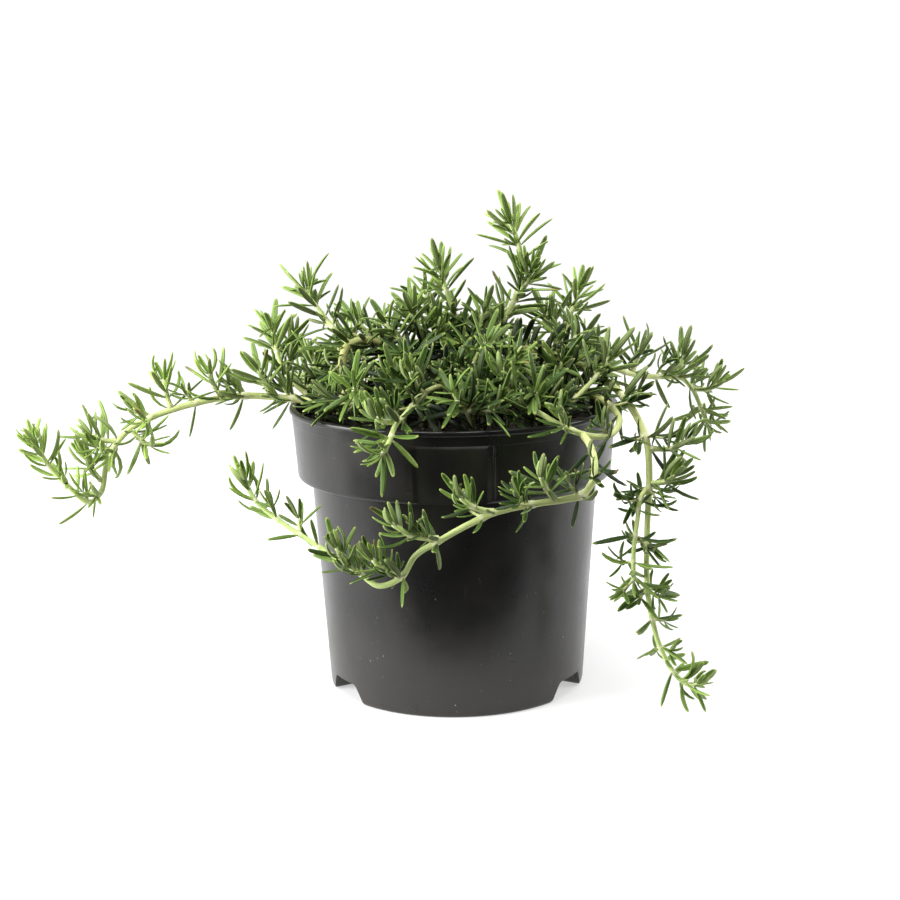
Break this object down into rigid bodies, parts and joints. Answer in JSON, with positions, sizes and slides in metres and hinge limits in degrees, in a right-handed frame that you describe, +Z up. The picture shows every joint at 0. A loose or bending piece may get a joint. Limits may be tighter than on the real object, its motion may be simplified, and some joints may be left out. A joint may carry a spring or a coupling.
{
  "type": "potted rosemary plant",
  "caption": "Bushy rosemary plant with upright, arching and trailing needle-leaved stems, growing in a round black plastic nursery pot with a stepped collar.",
  "frame": {"origin": "centre of the pot's underside, on the surface that the pot stands on", "axes": "+Z up; -Y towards the front, where the pot's plain collar panel and the front trailing stem are; +X to the right as the plant is seen from the front"},
  "size_m": [0.3798, 0.2436, 0.2594],
  "materials": {
    "pot_plastic": "satin",
    "potting_soil": "matte",
    "foliage": "matte"
  },
  "bodies": {
    "root": {"pot": "pot_plastic", "soil": "potting_soil", "stem_left_trail": "foliage", "stem_front_trail": "foliage", "stem_right_hanging": "foliage", "stem_right_back": "foliage", "stem_tall": "foliage", "stem_centre_left": "foliage", "stem_left_middle": "foliage", "stem_back_right_upright": "foliage", "stem_left_back_upright": "foliage", "stem_left_upright": "foliage", "stem_front_left_upright": "foliage", "stem_over_front_rim": "foliage", "stem_right_upright": "foliage", "stem_mound_01": "foliage", "stem_mound_02": "foliage", "stem_mound_03": "foliage", "stem_mound_04": "foliage", "stem_mound_05": "foliage", "stem_mound_06": "foliage", "stem_mound_07": "foliage", "stem_mound_08": "foliage", "stem_mound_09": "foliage", "stem_mound_10": "foliage", "stem_mound_11": "foliage", "stem_mound_12": "foliage", "stem_mound_13": "foliage", "stem_mound_14": "foliage", "stem_mound_15": "foliage", "stem_mound_16": "foliage", "stem_mound_17": "foliage", "stem_mound_18": "foliage"}
  },
  "joints": []
}
